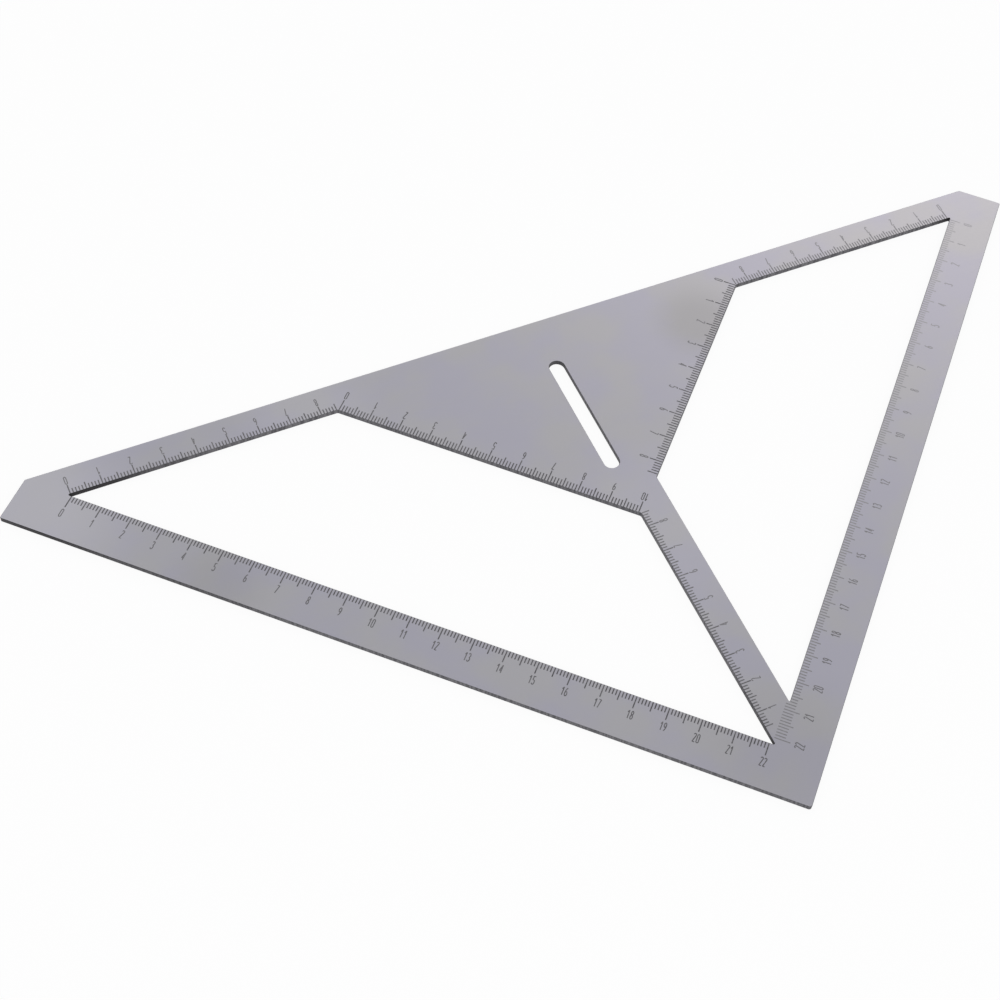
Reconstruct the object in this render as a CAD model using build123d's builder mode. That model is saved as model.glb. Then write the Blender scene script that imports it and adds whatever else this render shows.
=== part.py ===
from build123d import *
import math
import os

# A set square cut from one flat sheet of stainless steel, lying on its underside at Z = 0.
# Two equal legs meet in the square corner, and the long side faces that corner.
# X runs along the long side, Y from the square corner to the long side. Sizes are in millimetres.

# Outline
LEG_LENGTH = 252.5          # outer edge of a leg, from the square corner to its blunted tip
TIP_FLAT = 15.0             # flat that blunts each sharp tip, at right angles to the leg
SHEET_THICKNESS = 1.8

# Widths of the metal that is left round and between the two windows
LEG_WIDTH = 15.0
LONG_STRIP_WIDTH = 10.0     # strip along the long side
BAR_WIDTH = 10.5            # bar from the square corner to the web
WINDOW_WIDTH = 61.0         # clear width between a leg and the web

# Slot in the web, on the centre line of the square corner
SLOT_WIDTH = 5.25
SLOT_INNER_LAND = 18.65     # metal between the slot and the web's corner
SLOT_OUTER_LAND = 17.45     # metal between the slot and the long side

# Corners and edges as the cutter and the deburring leave them
SQUARE_CORNER_RADIUS = 0.8
TIP_RADIUS = 0.5
SHARP_WINDOW_RADIUS = 0.3   # window corners beside a leg
BLUNT_WINDOW_RADIUS = 1.0   # window corners beside the web
EDGE_BREAK = 0.12           # chamfer round both faces

# The full leg is what the outer edge would measure with its tip left sharp. The three lines at
# 45 degrees to the legs (long side, its inner edge, bar) are given by where they cross a leg's line.
DIAGONAL = math.sqrt(2)
full_leg = LEG_LENGTH + TIP_FLAT
inner_line = full_leg - LONG_STRIP_WIDTH * DIAGONAL
bar_span = BAR_WIDTH * DIAGONAL

# Distances from the legs' lines to the web, and from there to the far end of each window
web_edge = LEG_WIDTH + WINDOW_WIDTH
window_end_at_leg = inner_line - LEG_WIDTH
window_end_at_web = inner_line - web_edge

# The slot lies on the centre line: its two ends are measured from the square corner
slot_start = web_edge * DIAGONAL + SLOT_INNER_LAND
slot_end = full_leg / DIAGONAL - SLOT_OUTER_LAND
slot_length = slot_end - slot_start
slot_centre = (slot_start + slot_end) / 2 / DIAGONAL

# Drawing plane of the legs: its X follows the right leg and its Y the left leg. It starts in the
# sharp square corner, which is placed so that the rounded plate is centred on the part's origin.
corner_retreat = SQUARE_CORNER_RADIUS * (DIAGONAL - 1)
corner_to_origin = (full_leg / DIAGONAL + corner_retreat) / 2
legs_plane = Plane(origin=(0, -corner_to_origin, 0), x_dir=(1, 1, 0), z_dir=(0, 0, 1))

os.makedirs("parts", exist_ok=True)

# The plate: triangle with blunted tips, less two windows and the slot
with BuildPart() as set_square_plate:

    # Triangle with its two sharp tips cut off square to the legs
    with BuildSketch(legs_plane) as outline:
        with BuildLine():
            Polyline(
                (0, 0),
                (LEG_LENGTH, 0),
                (LEG_LENGTH, TIP_FLAT),
                (TIP_FLAT, LEG_LENGTH),
                (0, LEG_LENGTH),
                close=True,
            )
        make_face()
        fillet(outline.vertices().sort_by_distance((0, 0))[1:], TIP_RADIUS)
        fillet(outline.vertices().sort_by_distance((0, 0))[0], SQUARE_CORNER_RADIUS)
    extrude(amount=SHEET_THICKNESS)

    # Left window: its inner side is the bar's left edge, which runs into the legs' inner corner
    with BuildSketch(legs_plane) as left_window:
        with BuildLine():
            Polyline(
                (LEG_WIDTH, LEG_WIDTH),
                (web_edge, web_edge),
                (web_edge, window_end_at_web),
                (LEG_WIDTH, window_end_at_leg),
                close=True,
            )
        make_face()
        fillet(left_window.vertices().group_by(Axis.X)[0], SHARP_WINDOW_RADIUS)
        fillet(left_window.vertices().group_by(Axis.X)[-1], BLUNT_WINDOW_RADIUS)
    extrude(amount=SHEET_THICKNESS, mode=Mode.SUBTRACT)

    # Right window: the whole width of the bar is taken from this side
    with BuildSketch(legs_plane) as right_window:
        with BuildLine():
            Polyline(
                (LEG_WIDTH + bar_span, LEG_WIDTH),
                (window_end_at_leg, LEG_WIDTH),
                (window_end_at_web, web_edge),
                (web_edge + bar_span, web_edge),
                close=True,
            )
        make_face()
        fillet(right_window.vertices().group_by(Axis.Y)[0], SHARP_WINDOW_RADIUS)
        fillet(right_window.vertices().group_by(Axis.Y)[-1], BLUNT_WINDOW_RADIUS)
    extrude(amount=SHEET_THICKNESS, mode=Mode.SUBTRACT)

    # Round-ended slot in the web, in line with the bar's left edge
    with BuildSketch(legs_plane):
        with Locations((slot_centre, slot_centre)):
            SlotOverall(slot_length, SLOT_WIDTH, rotation=45)
    extrude(amount=SHEET_THICKNESS, mode=Mode.SUBTRACT)

    # Deburred edges round the top face and the underside
    chamfer(set_square_plate.faces().filter_by(Axis.Z).edges(), EDGE_BREAK)

set_square_plate.part.label = "set_square_plate"
export_step(set_square_plate.part, "parts/set_square_plate.step")
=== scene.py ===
import math

import bmesh
import bpy
from mathutils import Matrix, Vector


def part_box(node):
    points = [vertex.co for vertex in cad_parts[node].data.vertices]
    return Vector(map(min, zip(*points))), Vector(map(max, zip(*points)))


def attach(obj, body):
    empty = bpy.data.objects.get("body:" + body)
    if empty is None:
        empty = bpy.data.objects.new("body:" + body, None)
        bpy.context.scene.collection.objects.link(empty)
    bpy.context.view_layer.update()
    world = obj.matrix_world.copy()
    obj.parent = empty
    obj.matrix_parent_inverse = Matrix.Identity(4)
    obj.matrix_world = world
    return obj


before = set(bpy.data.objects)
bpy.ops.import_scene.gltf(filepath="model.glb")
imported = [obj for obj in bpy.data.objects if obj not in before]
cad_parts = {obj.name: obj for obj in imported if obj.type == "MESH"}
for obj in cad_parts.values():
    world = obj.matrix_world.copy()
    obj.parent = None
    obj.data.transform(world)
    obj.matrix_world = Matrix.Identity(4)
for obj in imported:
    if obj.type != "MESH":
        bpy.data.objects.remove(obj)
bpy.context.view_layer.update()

# A set square cut from one stainless sheet. The plate is the CAD solid. This script adds its finish
# and its millimetre scales, and the floor, light and camera.

# ---------------------------------------------------------------------------
# Sizes of the plate, in metres, as in the CAD source
# ---------------------------------------------------------------------------

MM = 0.001
PLATE_NODE = "set_square_plate"
BODY = "root"

LEG_LENGTH = 252.5 * MM
TIP_FLAT = 15.0 * MM
LEG_WIDTH = 15.0 * MM
LONG_STRIP_WIDTH = 10.0 * MM
BAR_WIDTH = 10.5 * MM
WINDOW_WIDTH = 61.0 * MM
SLOT_MIDDLE = 148.92 * MM       # from the square corner, on its centre line
SLOT_LENGTH = 45.57 * MM

DIAGONAL = math.sqrt(2)
full_leg = LEG_LENGTH + TIP_FLAT
inner_line = full_leg - LONG_STRIP_WIDTH * DIAGONAL
web_edge = LEG_WIDTH + WINDOW_WIDTH
window_end_at_leg = inner_line - LEG_WIDTH
window_end_at_web = inner_line - web_edge

plate_low, plate_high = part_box(PLATE_NODE)
top_face = plate_high.z
square_corner_y = plate_high.y - full_leg / DIAGONAL

# Places on the plate are given in the legs' coordinates: x along the right leg, y along the left
# leg, from the sharp square corner. These two are the legs' directions in the frame's coordinates.
RIGHT_LEG = Vector((1, 1)).normalized()
LEFT_LEG = Vector((-1, 1)).normalized()

# Directions in the legs' coordinates
TO_RIGHT_TIP = Vector((1, 0))
TO_LEFT_TIP = Vector((0, 1))
OUT = Vector((1, 1)).normalized()           # from the square corner to the long side
TO_RIGHT = Vector((1, -1)).normalized()     # along the long side, to the right


def on_plate(point):
    """The frame's x and y of a point given in the legs' coordinates."""
    return Vector((0, square_corner_y)) + RIGHT_LEG * point.x + LEFT_LEG * point.y


# ---------------------------------------------------------------------------
# Shader helpers
# ---------------------------------------------------------------------------

class Shader:
    """The node tree of a new material or world, built one node at a time."""

    def __init__(self, owner):
        self.owner = owner
        self.owner.use_nodes = True
        self.tree = self.owner.node_tree
        self.tree.nodes.clear()

    def node(self, kind, settings=None, **inputs):
        """A node of a kind. An input's name has _ for its spaces."""
        made = self.tree.nodes.new(kind)
        for key, value in (settings or {}).items():
            setattr(made, key, value)
        for key, value in inputs.items():
            self.feed(made.inputs[key.replace("_", " ")], value)
        return made

    def feed(self, socket, value):
        """Link another node's output to a socket, or set the socket to a plain value."""
        if isinstance(value, bpy.types.NodeSocket):
            self.tree.links.new(value, socket)
        else:
            socket.default_value = value

    def maths(self, operation, first, second=0.0):
        made = self.node("ShaderNodeMath", {"operation": operation})
        self.feed(made.inputs[0], first)
        self.feed(made.inputs[1], second)
        return made.outputs[0]

    def weighted(self, first, first_share, second, second_share):
        """The sum of two values, each times its share."""
        parts = (self.maths("MULTIPLY", first, first_share), self.maths("MULTIPLY", second, second_share))
        return self.maths("ADD", *parts)

    def vector_maths(self, operation, first, second):
        """A vector operation whose result is a number."""
        made = self.node("ShaderNodeVectorMath", {"operation": operation})
        self.feed(made.inputs[0], first)
        self.feed(made.inputs[1], second)
        return made.outputs["Value"]

    def remap(self, value, low, high, to_low, to_high):
        """A smooth step from to_low, at low, to to_high, at high."""
        made = self.node("ShaderNodeMapRange", {"interpolation_type": "SMOOTHSTEP"})
        for socket, given in zip(made.inputs, (value, low, high, to_low, to_high)):
            self.feed(socket, given)
        return made.outputs[0]

    def mix_colours(self, share, first, second):
        made = self.node("ShaderNodeMix", {"data_type": "RGBA"})
        self.feed(made.inputs[0], share)
        self.feed(made.inputs[6], first)
        self.feed(made.inputs[7], second)
        return made.outputs[2]

    def mix_values(self, share, first, second):
        made = self.node("ShaderNodeMix", {"data_type": "FLOAT"})
        self.feed(made.inputs[0], share)
        self.feed(made.inputs[2], first)
        self.feed(made.inputs[3], second)
        return made.outputs[0]

    def noise(self, coordinates, scale, detail=2, stretch=(1, 1, 1)):
        mapping = self.node("ShaderNodeMapping", Vector=coordinates, Scale=stretch)
        made = self.node("ShaderNodeTexNoise", Vector=mapping.outputs[0], Scale=scale, Detail=detail)
        return made.outputs[0]

    def finish(self, surface, output_kind="ShaderNodeOutputMaterial"):
        output = self.node(output_kind)
        self.feed(output.inputs["Surface"], surface)
        return self.owner


# ---------------------------------------------------------------------------
# Materials
# ---------------------------------------------------------------------------

# The two faces
METAL_NEUTRAL = (0.530, 0.526, 0.540, 1)
METAL_LILAC = (0.513, 0.507, 0.570, 1)
# Colours of a painted highlight and of painted shade, for patches of the faces
METAL_PAINTED_HIGHLIGHT = (0.700, 0.690, 0.740, 1)
METAL_PAINTED_SHADE = (0.360, 0.355, 0.350, 1)
METAL_ROUGHNESS = (0.28, 0.30)
CLOUD_SCALE = 45                # noise scales are per metre
GRAIN_SCALE = 900
GRAIN_STRETCH = (0.06, 1, 1)    # drawn out along the long side
SPECKLE_SCALE = 2600
TONE_SHARES = (0.9, 0.1)        # of the clouds and of the grain
TONE_RANGE = (0.38, 0.62)       # of noise, from all neutral to all lilac
ROUGHNESS_RANGE = (0.7, 1.3)    # of grain and speckle added up
RELIEF_SHARES = (0.6, 0.4)      # of the grain and of the speckle
RELIEF_STRENGTH = 0.12
RELIEF_DEPTH = 0.02 * MM

# The cut walls
CUT_WALL_LIGHT = (0.162, 0.158, 0.170, 1)
CUT_WALL_DARK = (0.074, 0.072, 0.081, 1)
# Painted shade: the cut walls darken towards this in tight corners, in the slot and along the outside of the
# left tip
CUT_WALL_PAINTED_SHADE = (0.012, 0.010, 0.013, 1)
WALL_ROUGHNESS = 0.62
WALL_METALLIC = 0.35
WALL_SLOPE = (0.75, 0.95)       # size of the normal's Z, from all wall to all face
STRIATION_SCALE = 1500
STRIATION_STRETCH = (1, 1, 0.08)
STRIATION_RANGE = (0.35, 0.65)

# The marking
MARK_INK = (0.024, 0.022, 0.026, 1)
MARK_ROUGHNESS = 0.5
WEAR_SCALE = 1400
WEAR_RANGE = (0.25, 0.60)
WEAR_KEEPS = (0.80, 1.0)        # share of the ink that wear leaves
INK_ATTRIBUTE = "ink"

# Places where painted shade or a painted highlight changes the colour: a point, how far from it
# the difference is full, how far it reaches, its share, and its colour
PAINTED_SHADE_ON_CUTS = [
    # Painted shade at the ends of the left and the right window
    (Vector((LEG_WIDTH, window_end_at_leg)), 12 * MM, 29 * MM, 0.95, CUT_WALL_PAINTED_SHADE),
    (Vector((window_end_at_leg, LEG_WIDTH)), 0.5 * MM, 13 * MM, 0.90, CUT_WALL_PAINTED_SHADE),
    # Painted shade in the legs' inner corner, and at the foot of the bar
    (Vector((LEG_WIDTH, LEG_WIDTH)), 0.5 * MM, 5 * MM, 0.90, CUT_WALL_PAINTED_SHADE),
    (Vector((1.4 * LEG_WIDTH, 1.4 * LEG_WIDTH)), 6 * MM, 22 * MM, 0.45, CUT_WALL_PAINTED_SHADE),
    # Painted shade along the outside of the left tip
    (Vector((-3 * LEG_WIDTH, LEG_LENGTH)), 70 * MM, 115 * MM, 0.50, CUT_WALL_PAINTED_SHADE),
    # Painted shade in the slot, and more at its outer end
    (OUT * SLOT_MIDDLE, 24 * MM, 29 * MM, 0.20, CUT_WALL_PAINTED_SHADE),
    (OUT * (SLOT_MIDDLE + SLOT_LENGTH / 2), 3 * MM, 10 * MM, 0.42, CUT_WALL_PAINTED_SHADE),
]
PAINTED_LIGHT_ON_FACES = [
    # Painted highlight at the left tip, and painted shade on the left leg near 5 cm and on the web beside the
    # right window
    (Vector((4 * MM, 248 * MM)), 10 * MM, 44 * MM, 0.50, METAL_PAINTED_HIGHLIGHT),
    (Vector((4 * MM, 184 * MM)), 3 * MM, 20 * MM, 0.24, METAL_PAINTED_SHADE),
    (Vector((157 * MM, 83 * MM)), 4 * MM, 20 * MM, 0.36, METAL_PAINTED_SHADE),
    # Painted shade at the square corner, and painted highlights on the upper half of the bar and on the left
    # strip near the web
    (Vector((14 * MM, 12 * MM)), 8 * MM, 34 * MM, 0.20, METAL_PAINTED_SHADE),
    (Vector((72 * MM, 66 * MM)), 8 * MM, 45 * MM, 0.20, METAL_PAINTED_HIGHLIGHT),
    (Vector((72 * MM, 186 * MM)), 5 * MM, 28 * MM, 0.22, METAL_PAINTED_HIGHLIGHT),
]


def with_patches(shader, spot, colour, patches):
    """A colour that changes near certain places of the plate, where shade or highlights are painted on."""
    for middle, full, reach, share, patch_colour in patches:
        away = shader.vector_maths("DISTANCE", spot, (*on_plate(middle), top_face / 2))
        colour = shader.mix_colours(shader.remap(away, full, reach, share, 0.0), colour, patch_colour)
    return colour


def brushed_stainless():
    """Matt stainless faces with a faint grain along the long side, and darker cut walls."""
    shader = Shader(bpy.data.materials.new("brushed_stainless"))
    place = shader.node("ShaderNodeTexCoord")
    spot, facing = place.outputs["Object"], place.outputs["Normal"]
    normal_z = shader.node("ShaderNodeSeparateXYZ", Vector=facing).outputs["Z"]
    wall = shader.remap(shader.maths("ABSOLUTE", normal_z), *WALL_SLOPE, 1.0, 0.0)

    clouds = shader.noise(spot, CLOUD_SCALE)
    grain = shader.noise(spot, GRAIN_SCALE, detail=3, stretch=GRAIN_STRETCH)
    speckle = shader.noise(spot, SPECKLE_SCALE, detail=1)
    tone = shader.weighted(clouds, TONE_SHARES[0], grain, TONE_SHARES[1])
    face = shader.mix_colours(shader.remap(tone, *TONE_RANGE, 0.0, 1.0), METAL_NEUTRAL, METAL_LILAC)
    # Painted highlights and painted shade in patches of the faces
    face = with_patches(shader, spot, face, PAINTED_LIGHT_ON_FACES)

    # The cutter leaves fine upright striations on the walls
    striations = shader.noise(spot, STRIATION_SCALE, stretch=STRIATION_STRETCH)
    streak = shader.remap(striations, *STRIATION_RANGE, 0.0, 1.0)
    cut = shader.mix_colours(streak, CUT_WALL_DARK, CUT_WALL_LIGHT)
    # Painted shade on the cut walls near the windows' ends, the legs' inner corner, the bar's foot, the slot
    # and the left tip
    cut = with_patches(shader, spot, cut, PAINTED_SHADE_ON_CUTS)

    face_roughness = shader.remap(shader.maths("ADD", grain, speckle), *ROUGHNESS_RANGE, *METAL_ROUGHNESS)
    relief = shader.weighted(grain, RELIEF_SHARES[0], speckle, RELIEF_SHARES[1])
    bump = shader.node("ShaderNodeBump", Strength=RELIEF_STRENGTH, Distance=RELIEF_DEPTH, Height=relief)
    surface = shader.node(
        "ShaderNodeBsdfPrincipled",
        Base_Color=shader.mix_colours(wall, face, cut),
        Metallic=shader.remap(wall, 0.0, 1.0, 1.0, WALL_METALLIC),
        Roughness=shader.mix_values(wall, face_roughness, WALL_ROUGHNESS),
        Normal=bump.outputs[0],
    )
    return shader.finish(surface.outputs[0])


def laser_mark():
    """Dark laser marking, patchy where it is worn. The mesh says how dark the marking is at each point."""
    shader = Shader(bpy.data.materials.new("laser_mark"))
    spot = shader.node("ShaderNodeTexCoord").outputs["Object"]
    ink_strength = shader.node("ShaderNodeAttribute", {"attribute_name": INK_ATTRIBUTE}).outputs["Fac"]
    wear = shader.remap(shader.noise(spot, WEAR_SCALE), *WEAR_RANGE, *WEAR_KEEPS)
    ink = shader.maths("MULTIPLY", ink_strength, wear)
    surface = shader.node(
        "ShaderNodeBsdfPrincipled",
        Base_Color=shader.mix_colours(ink, METAL_NEUTRAL, MARK_INK),
        Metallic=shader.remap(ink, 0.0, 1.0, 1.0, 0.0),
        Roughness=MARK_ROUGHNESS,
    )
    return shader.finish(surface.outputs[0])


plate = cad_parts[PLATE_NODE]
plate.data.materials.clear()
plate.data.materials.append(brushed_stainless())
mark_material = laser_mark()

# ---------------------------------------------------------------------------
# Graduations and numbers
# ---------------------------------------------------------------------------

MARK_HEIGHT = 0.015 * MM        # the marking stands this far proud of the face
MARK_ROOT = 0.010 * MM          # and reaches this far into it
TICK_LINE = 0.37 * MM
NUMBER_LINE = 0.31 * MM
NUMBER_HEIGHT = 2.75 * MM
DIGIT_WIDTH = 0.66 * MM
DIGIT_PITCH = 1.08 * MM
ARC_STEPS = 8                   # straight pieces in an arc
STROKE_STEP = 0.001 * MM        # where strokes of one figure cross, each lies this much lower
SAME_POINT = 0.0002 * MM        # points this near become one
SHARP_BEND = 0.85               # cosine of half the turn below which a bend is sharp


def stroke_rails(path, half, closed):
    """The left and right edge points of a stroke. The outer side of a sharp bend is cut off flat."""
    count = len(path)
    rails = []
    for i, point in enumerate(path):
        before = (point - path[i - 1]) if closed or i > 0 else None
        after = (path[(i + 1) % count] - point) if closed or i + 1 < count else None
        arriving, leaving = (before or after).normalized(), (after or before).normalized()
        out_of_arriving = Vector((-arriving.y, arriving.x)) * half
        out_of_leaving = Vector((-leaving.y, leaving.x)) * half
        middle = (arriving + leaving).normalized()
        cosine = middle.dot(leaving)
        mitre = Vector((-middle.y, middle.x)) * half / cosine
        if cosine > SHARP_BEND:
            rails.append((point + mitre, point - mitre))
            continue
        room = min(before.length, after.length)
        mitre *= min(1.0, room / mitre.length)
        if arriving.cross(leaving) > 0:
            rails.append((point + mitre, point - out_of_arriving))
            rails.append((point + mitre, point - out_of_leaving))
        else:
            rails.append((point + out_of_arriving, point - mitre))
            rails.append((point + out_of_leaving, point - mitre))
    return rails


class MarkSheet:
    """Flat ribbons just proud of the top face, gathered into one mesh."""

    def __init__(self, name, start, end, ink):
        self.name = name
        self.start = start
        self.run = end - start
        self.ink = ink
        self.points = []
        self.faces = []

    def ribbon(self, path, line, closed=False, sunk=0.0):
        """A stroke of even width along a path, as a thin closed strip. sunk lowers its top a little."""
        rails = stroke_rails(path, line / 2, closed)
        count = len(rails)
        base = len(self.points)
        for left, right in rails:
            for height in (-MARK_ROOT, MARK_HEIGHT - sunk):
                self.points += [(*on_plate(point), top_face + height) for point in (left, right)]
        for i in range(count if closed else count - 1):
            here, there = base + 4 * i, base + 4 * ((i + 1) % count)
            corners = [(0, 1), (1, 3), (3, 2), (2, 0)]      # underside, right side, top, left side
            self.faces += [[here + a, here + b, there + b, there + a] for a, b in corners]
        if not closed:
            last = base + 4 * (count - 1)
            self.faces.append([base, base + 2, base + 3, base + 1])
            self.faces.append([last, last + 1, last + 3, last + 2])

    def ink_at(self, point):
        """How dark the marking is at a point, from the first of the two inks to the last."""
        share = (Vector(point[:2]) - self.start).dot(self.run) / self.run.length_squared
        return self.ink[0] + (self.ink[1] - self.ink[0]) * min(1.0, max(0.0, share))

    def build(self):
        mesh = bpy.data.meshes.new(self.name)
        mesh.from_pydata(self.points, [], self.faces)
        strokes = bmesh.new()
        strokes.from_mesh(mesh)
        bmesh.ops.remove_doubles(strokes, verts=strokes.verts, dist=SAME_POINT)
        bmesh.ops.recalc_face_normals(strokes, faces=strokes.faces)
        strokes.to_mesh(mesh)
        strokes.free()
        ink = mesh.attributes.new(INK_ATTRIBUTE, "FLOAT", "POINT")
        ink.data.foreach_set("value", [self.ink_at(vertex.co) for vertex in mesh.vertices])
        mesh.materials.append(mark_material)
        piece = bpy.data.objects.new(self.name, mesh)
        bpy.context.scene.collection.objects.link(piece)
        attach(piece, BODY)
        return piece


def arc(centre_x, centre_y, radius_x, radius_y, start, end):
    """Points of an elliptical arc in a digit's cell, angles in degrees, anticlockwise if end > start."""
    turns = (start + (end - start) * i / ARC_STEPS for i in range(ARC_STEPS + 1))
    return [
        (centre_x + radius_x * math.cos(math.radians(a)), centre_y + radius_y * math.sin(math.radians(a)))
        for a in turns
    ]


# Strokes of a narrow drawing-office figure in a cell 1 wide and 1 high: (points, closed)
CAP = 0.16      # height of the round end of a figure
DIGITS = {
    "0": [(arc(0.5, 1 - CAP, 0.5, CAP, 0, 180) + arc(0.5, CAP, 0.5, CAP, 180, 360), True)],
    "1": [([(0.05, 0.72), (0.60, 1.0), (0.60, 0.0)], False)],
    "2": [(arc(0.5, 1 - CAP, 0.5, CAP, 170, -20) + [(0.0, 0.0), (1.0, 0.0)], False)],
    "3": [(arc(0.45, 0.77, 0.47, 0.23, 155, -85), False), (arc(0.45, 0.27, 0.55, 0.27, 88, -155), False)],
    "4": [([(0.76, 0.0), (0.76, 1.0)], False), ([(0.72, 1.0), (0.0, 0.27), (1.0, 0.27)], False)],
    "5": [([(0.95, 1.0), (0.10, 1.0), (0.10, 0.52)], False), (arc(0.42, 0.29, 0.56, 0.29, 125, -155), False)],
    "6": [(arc(0.5, 0.28, 0.5, 0.28, 0, 360)[:-1], True), (arc(0.9, 0.28, 0.9, 0.72, 178, 100), False)],
    "7": [([(0.0, 1.0), (1.0, 1.0), (0.32, 0.0)], False)],
    "8": [(arc(0.5, 0.76, 0.43, 0.24, 0, 360)[:-1], True), (arc(0.5, 0.26, 0.5, 0.26, 0, 360)[:-1], True)],
    "9": [(arc(0.5, 0.72, 0.5, 0.28, 0, 360)[:-1], True), (arc(0.1, 0.72, 0.9, 0.72, -2, -80), False)],
}


def write_number(sheet, number, middle, up):
    """A number centred on a point, its top towards up."""
    across = Vector((up.y, -up.x))
    figures = str(number)
    width = DIGIT_PITCH * (len(figures) - 1) + DIGIT_WIDTH
    for place, figure in enumerate(figures):
        corner = middle - across * (width / 2 - place * DIGIT_PITCH) - up * NUMBER_HEIGHT / 2
        for layer, (points, closed) in enumerate(DIGITS[figure]):
            path = [corner + across * x * DIGIT_WIDTH + up * y * NUMBER_HEIGHT for x, y in points]
            sheet.ribbon(path, NUMBER_LINE, closed, layer * STROKE_STEP)


class TickStyle:
    """How far a scale's ticks reach from its edge, and where the middle of its numbers is.

    overrun is how far the ticks run on past the edge at the foot of the bar, where there is no edge.
    """

    def __init__(self, millimetre, half_centimetre, centimetre, number_middle, overrun=0.0):
        self.millimetre = millimetre
        self.half_centimetre = half_centimetre
        self.centimetre = centimetre
        self.number_middle = number_middle
        self.overrun = overrun

    def reach_of(self, millimetres):
        if millimetres % 10 == 0:
            return self.centimetre
        if millimetres % 5 == 0:
            return self.half_centimetre
        return self.millimetre


# In TickStyle's order: millimetre, half centimetre, centimetre, middle of the numbers
LEFT_LEG_STYLE = TickStyle(2.1 * MM, 3.4 * MM, 4.3 * MM, 6.5 * MM)
RIGHT_LEG_STYLE = TickStyle(2.2 * MM, 3.3 * MM, 3.8 * MM, 6.6 * MM, overrun=1.0 * MM)
WEB_STYLE = TickStyle(2.4 * MM, 3.4 * MM, 4.3 * MM, 6.2 * MM)
NARROW_STYLE = TickStyle(1.8 * MM, 2.6 * MM, 3.4 * MM, 5.1 * MM)
RIGHT_STRIP_STYLE = TickStyle(2.2 * MM, 3.0 * MM, 3.8 * MM, 5.5 * MM)
EDGE_GAP = 0.12 * MM            # elsewhere the marking stops short of the deburred edge
bar_foot = LEG_WIDTH + BAR_WIDTH * DIAGONAL


def tick_root(foot, inward, style):
    """Where a tick starts, for its place on the edge."""
    if style.overrun and foot.x < bar_foot:
        return foot - inward * style.overrun
    return foot + inward * EDGE_GAP


def make_scale(name, zero, along, inward, first, last, style, tick_ink, number_ink):
    """One edge's ticks and numbers. zero, along and inward are in the legs' coordinates; first and
    last are in millimetres from zero; each ink is how dark the marking is at the scale's two ends."""
    start, end = on_plate(zero), on_plate(zero + along * last * MM)
    ticks = MarkSheet(f"ticks_{name}", start, end, tick_ink)
    numbers = MarkSheet(f"numbers_{name}", start, end, number_ink)
    for millimetres in range(first, last + 1):
        foot = zero + along * millimetres * MM
        tip = foot + inward * style.reach_of(millimetres)
        ticks.ribbon([tick_root(foot, inward, style), tip], TICK_LINE)
        if millimetres % 10 == 0:
            write_number(numbers, millimetres // 10, foot + inward * style.number_middle, -inward)
    ticks.build()
    numbers.build()


# From a window's corner to the zero tick
LEFT_LEG_MARGIN = 1.5 * MM
RIGHT_LEG_MARGIN = 1.2 * MM
LEFT_STRIP_MARGIN = 0.95 * MM
RIGHT_STRIP_MARGIN = 1.3 * MM
WEB_MARGIN = 0.4 * MM
BAR_MARGIN = 1.3 * MM

# Each scale's name, zero, direction, side, first and last millimetre, style, and its two inks
SCALES = [
    ("left_leg", Vector((LEG_WIDTH, window_end_at_leg - LEFT_LEG_MARGIN)),
     -TO_LEFT_TIP, -TO_RIGHT_TIP, 0, 220, LEFT_LEG_STYLE, (0.86, 0.94), (0.74, 0.87)),
    ("right_leg", Vector((window_end_at_leg - RIGHT_LEG_MARGIN, LEG_WIDTH)),
     -TO_RIGHT_TIP, -TO_LEFT_TIP, 0, 220, RIGHT_LEG_STYLE, (0.14, 0.58), (0.19, 0.82)),
    ("left_strip", Vector((LEG_WIDTH, window_end_at_leg)) + TO_RIGHT * LEFT_STRIP_MARGIN,
     TO_RIGHT, OUT, 0, 85, NARROW_STYLE, (0.80, 0.85), (0.68, 0.72)),
    ("right_strip", Vector((window_end_at_leg, LEG_WIDTH)) - TO_RIGHT * RIGHT_STRIP_MARGIN,
     -TO_RIGHT, OUT, 0, 85, RIGHT_STRIP_STYLE, (0.60, 0.66), (0.39, 0.50)),
    ("web_left", Vector((web_edge, window_end_at_web - WEB_MARGIN)),
     -TO_LEFT_TIP, TO_RIGHT_TIP, 0, 100, WEB_STYLE, (0.84, 0.93), (0.79, 0.84)),
    ("web_right", Vector((window_end_at_web - WEB_MARGIN, web_edge)),
     -TO_RIGHT_TIP, TO_LEFT_TIP, 0, 85, WEB_STYLE, (0.89, 0.87), (0.72, 0.68)),
    ("bar", Vector((LEG_WIDTH, LEG_WIDTH)) + OUT * BAR_MARGIN,
     OUT, TO_RIGHT, 5, 85, NARROW_STYLE, (0.88, 0.72), (0.70, 0.58)),
]
for scale in SCALES:
    make_scale(*scale)

# ---------------------------------------------------------------------------
# Floor, light and camera
# ---------------------------------------------------------------------------

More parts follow.
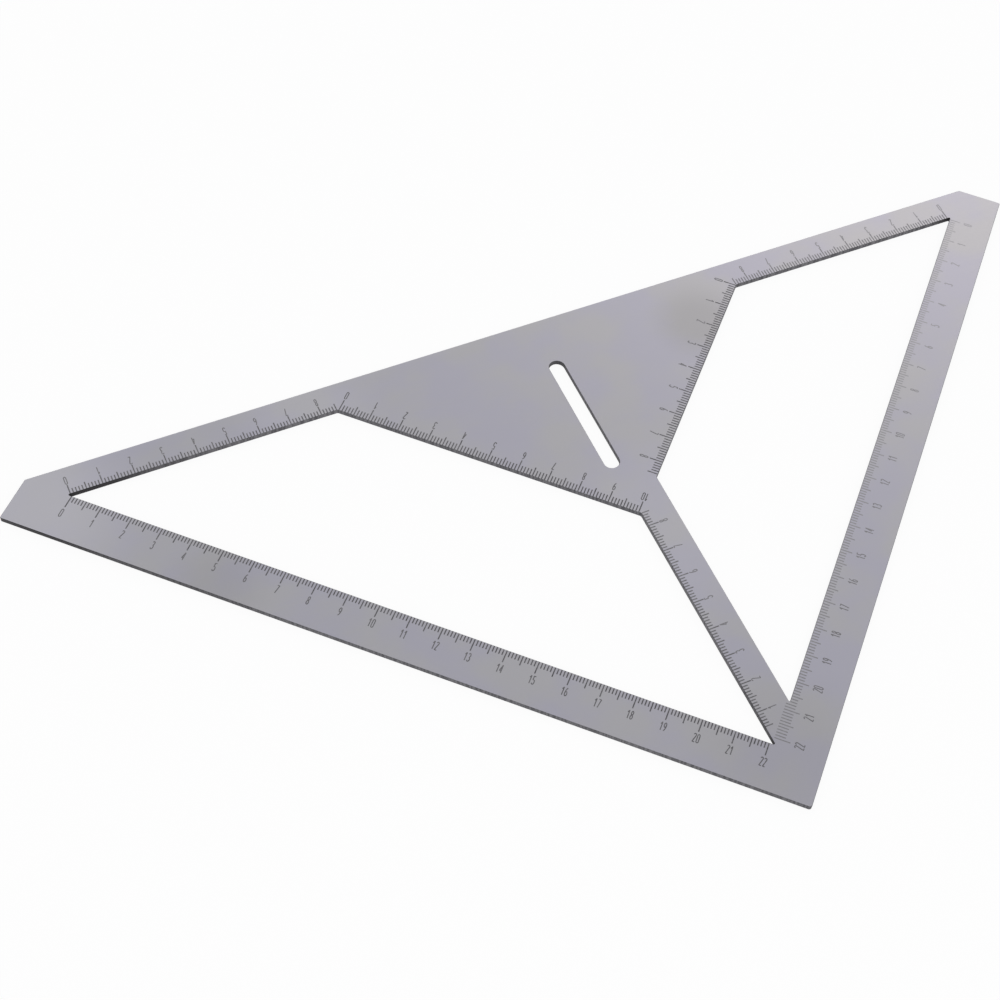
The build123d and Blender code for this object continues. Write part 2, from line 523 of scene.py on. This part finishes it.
FLOOR_SIZE = 6.0
FLOOR_DROP = 0.02 * MM          # the floor's top lies this far below the plate
FLOOR_COLOUR = (0.94, 0.94, 0.94, 1)
FLOOR_WHITE = 1.0               # the camera and the metal see this white mixed with the lit floor
FLOOR_WHITE_SHARE = 0.92
HORIZON_LIGHT = (0.97, 0.97, 0.97, 1)       # the studio's walls look as pale as the floor
CEILING_LIGHT = (0.610, 0.609, 0.633, 1)
HORIZON_HEIGHT = 0.20           # heights of a direction, from 0 level to 1 straight up
CEILING_HEIGHT = 0.95
SCREEN_LIGHT = (1.500, 1.430, 1.420, 1)     # a round screen of soft light on the far side, to the right
SCREEN_AZIMUTH = 48.4           # from +X towards +Y, in degrees
SCREEN_ELEVATION = 30.0
SCREEN_RADIUS = 14.1            # seen from the plate, in degrees
SCREEN_REACH = 16.3             # where its soft rim ends


def seen_directly(shader):
    """1 on camera, glossy and transmission rays, and 0 on the rays that light other things."""
    path = shader.node("ShaderNodeLightPath").outputs
    seen = shader.maths("MAXIMUM", path["Is Camera Ray"], path["Is Glossy Ray"])
    return shader.maths("MAXIMUM", seen, path["Is Transmission Ray"])


def pale_floor():
    """White to the camera and in the metal, less the plate's shadow. It lights the plate as pale paper."""
    shader = Shader(bpy.data.materials.new("pale_floor"))
    paper = shader.node("ShaderNodeBsdfDiffuse", Color=FLOOR_COLOUR)
    white = shader.node("ShaderNodeEmission", Strength=FLOOR_WHITE)
    share = shader.maths("MULTIPLY", seen_directly(shader), FLOOR_WHITE_SHARE)
    both = shader.node("ShaderNodeMixShader", Fac=share)
    shader.feed(both.inputs[1], paper.outputs[0])
    shader.feed(both.inputs[2], white.outputs[0])
    return shader.finish(both.outputs[0])


half_floor = FLOOR_SIZE / 2
floor_mesh = bpy.data.meshes.new("floor")
floor_corners = [(x, y, -FLOOR_DROP) for x, y in ((-1, -1), (1, -1), (1, 1), (-1, 1))]
floor_mesh.from_pydata([(x * half_floor, y * half_floor, z) for x, y, z in floor_corners], [], [(0, 1, 2, 3)])
floor_mesh.materials.append(pale_floor())
floor = bpy.data.objects.new("floor", floor_mesh)
bpy.context.scene.collection.objects.link(floor)


def studio_world():
    """White light from all round, dimmer overhead, and one brighter soft screen."""
    shader = Shader(bpy.data.worlds.new("studio"))
    azimuth, elevation = math.radians(SCREEN_AZIMUTH), math.radians(SCREEN_ELEVATION)
    level = Vector((math.cos(azimuth), math.sin(azimuth), 0))
    screen = level * math.cos(elevation) + Vector((0, 0, math.sin(elevation)))
    direction = shader.node("ShaderNodeTexCoord").outputs["Generated"]
    height = shader.node("ShaderNodeSeparateXYZ", Vector=direction).outputs["Z"]
    overhead = shader.remap(height, HORIZON_HEIGHT, CEILING_HEIGHT, 0.0, 1.0)
    room = shader.mix_colours(overhead, HORIZON_LIGHT, CEILING_LIGHT)
    facing = shader.vector_maths("DOT_PRODUCT", direction, screen)
    rim, full = (math.cos(math.radians(angle)) for angle in (SCREEN_REACH, SCREEN_RADIUS))
    lit = shader.remap(facing, rim, full, 0.0, 1.0)
    light = shader.mix_colours(lit, room, SCREEN_LIGHT)
    background = shader.node("ShaderNodeBackground", Color=light)
    return shader.finish(background.outputs[0], "ShaderNodeOutputWorld")


def soft_lamp(name, place, target, size, power):
    """A square area lamp aimed at a point."""
    lamp = bpy.data.lights.new(name, "AREA")
    lamp.size = size
    lamp.energy = power
    holder = bpy.data.objects.new(name, lamp)
    holder.location = place
    holder.rotation_euler = (Vector(target) - Vector(place)).to_track_quat("-Z", "Y").to_euler()
    bpy.context.scene.collection.objects.link(holder)


bpy.context.scene.world = studio_world()
soft_lamp("soft_lamp", place=(-0.3, -0.9, 1.5), target=(0, 0, 0), size=1.2, power=5)

CAMERA_PLACE = (-0.18997, -0.25372, 0.47108)
CAMERA_AZIMUTH = -32.457        # degrees, as the next two
CAMERA_ELEVATION = 54.997
CAMERA_ROLL = 8.482
FOCAL_PIXELS = 1858.8           # focal length in pixels of the 1000-pixel picture
CENTRE_SHIFT_PIXELS = 86.7      # how far right of the middle the optical axis passes
PICTURE_PIXELS = 1000
SENSOR_WIDTH = 36.0             # mm
NEAREST = 0.01                  # nothing nearer than this is drawn

camera = bpy.data.objects.new("camera", bpy.data.cameras.new("camera"))
camera.data.sensor_width = SENSOR_WIDTH
camera.data.lens = FOCAL_PIXELS / PICTURE_PIXELS * SENSOR_WIDTH
camera.data.shift_x = -CENTRE_SHIFT_PIXELS / PICTURE_PIXELS
camera.data.clip_start = NEAREST
camera.location = CAMERA_PLACE
azimuth, elevation, roll = (math.radians(a) for a in (CAMERA_AZIMUTH, CAMERA_ELEVATION, CAMERA_ROLL))
turn = Matrix.Rotation(azimuth, 4, "Z") @ Matrix.Rotation(math.pi / 2 - elevation, 4, "X")
camera.rotation_euler = (turn @ Matrix.Rotation(roll, 4, "Z")).to_euler()
bpy.context.scene.collection.objects.link(camera)
bpy.context.scene.camera = camera
bpy.context.scene.view_settings.view_transform = "Standard"
